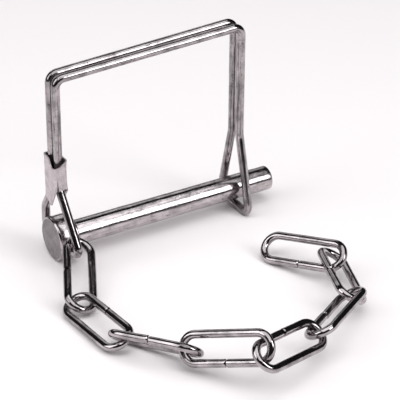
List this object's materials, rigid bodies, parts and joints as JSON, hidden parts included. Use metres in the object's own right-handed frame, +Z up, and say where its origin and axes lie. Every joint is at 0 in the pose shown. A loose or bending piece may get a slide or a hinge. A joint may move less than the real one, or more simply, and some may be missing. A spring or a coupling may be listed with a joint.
{
  "type": "hitch pin lock",
  "caption": "Short headed coupler pin locked by an upright square wire bail that snaps round its tip, with a loose bent-wire chain hung from the bail's eye.",
  "frame": {"origin": "centre of the head's flat outer face, on the pin's axis", "axes": "+X along the pin from its head to its tip, +Z up through the upright bail, +Y to the back of the bail"},
  "size_m": [0.0714, 0.0849, 0.052],
  "materials": {
    "zinc_pin": "satin zinc plating",
    "spring_wire": "bright drawn wire",
    "ferrule_sheet": "dull galvanised sheet",
    "chain_nickel": "bright nickel plating"
  },
  "bodies": {
    "pin": {"pin": "zinc_pin"},
    "bail": {"bail_wire_back": "spring_wire", "bail_wire_front": "spring_wire", "ferrule": "ferrule_sheet"},
    "release_loop": {"bail_release_loop": "spring_wire"},
    "link_1": {"chain_link_1": "chain_nickel"},
    "link_2": {"chain_link_2": "chain_nickel"},
    "link_3": {"chain_link_3": "chain_nickel"},
    "link_4": {"chain_link_4": "chain_nickel"},
    "link_5": {"chain_link_5": "chain_nickel"},
    "link_6": {"chain_link_6": "chain_nickel"},
    "link_7": {"chain_link_7": "chain_nickel"},
    "link_8": {"chain_link_8": "chain_nickel"}
  },
  "joints": [
    {"name": "bail_swing", "type": "hinge", "parent": "pin", "child": "bail", "pos_m": [0.0021, 0, 0], "axis": [0, 1, 0], "range_deg": [-0.2, 5]},
    {"name": "loop_release", "type": "hinge", "parent": "bail", "child": "release_loop", "pos_m": [0.0585, 0, 0.045], "axis": [0, -1, 0], "range_deg": [0, 14], "stiffness_Nm_per_rad": 2},
    {"name": "link_1_swing", "type": "hinge", "parent": "bail", "child": "link_1", "pos_m": [0.0021, -0.00922, 0.0037], "axis": [0, -0.6, -0.8], "range_deg": [-9, 29]},
    {"name": "link_2_swing", "type": "hinge", "parent": "link_1", "child": "link_2", "pos_m": [-0.00711, -0.02331, -0.00148], "axis": [0.3396, 0.2201, -0.9144], "range_deg": [-9, 6.5]},
    {"name": "link_3_swing", "type": "hinge", "parent": "link_2", "child": "link_3", "pos_m": [-0.00351, -0.04476, -0.00253], "axis": [-0.8947, -0.1928, -0.4029], "range_deg": [-21.5, 29]},
    {"name": "link_4_swing", "type": "hinge", "parent": "link_3", "child": "link_4", "pos_m": [0.00698, -0.05525, -0.0027], "axis": [-0.0878, -0.6627, -0.7437], "range_deg": [-14, 26.5]},
    {"name": "link_5_swing", "type": "hinge", "parent": "link_4", "child": "link_5", "pos_m": [0.01626, -0.07339, 0.00276], "axis": [-0.5896, 0.3686, -0.7187], "range_deg": [-6.5, 29]},
    {"name": "link_6_swing", "type": "hinge", "parent": "link_5", "child": "link_6", "pos_m": [0.03428, -0.06553, 0.00083], "axis": [0.5471, -0.5785, -0.605], "range_deg": [-29, 21.5]},
    {"name": "link_7_swing", "type": "hinge", "parent": "link_6", "child": "link_7", "pos_m": [0.052, -0.05691, 0.0001], "axis": [0.2037, -0.8451, 0.4942], "range_deg": [-29, 14]},
    {"name": "link_8_swing", "type": "hinge", "parent": "link_7", "child": "link_8", "pos_m": [0.0518, -0.04297, 0.00069], "axis": [0.3204, 0.9466, -0.0366], "range_deg": [-29, 11.5]}
  ]
}
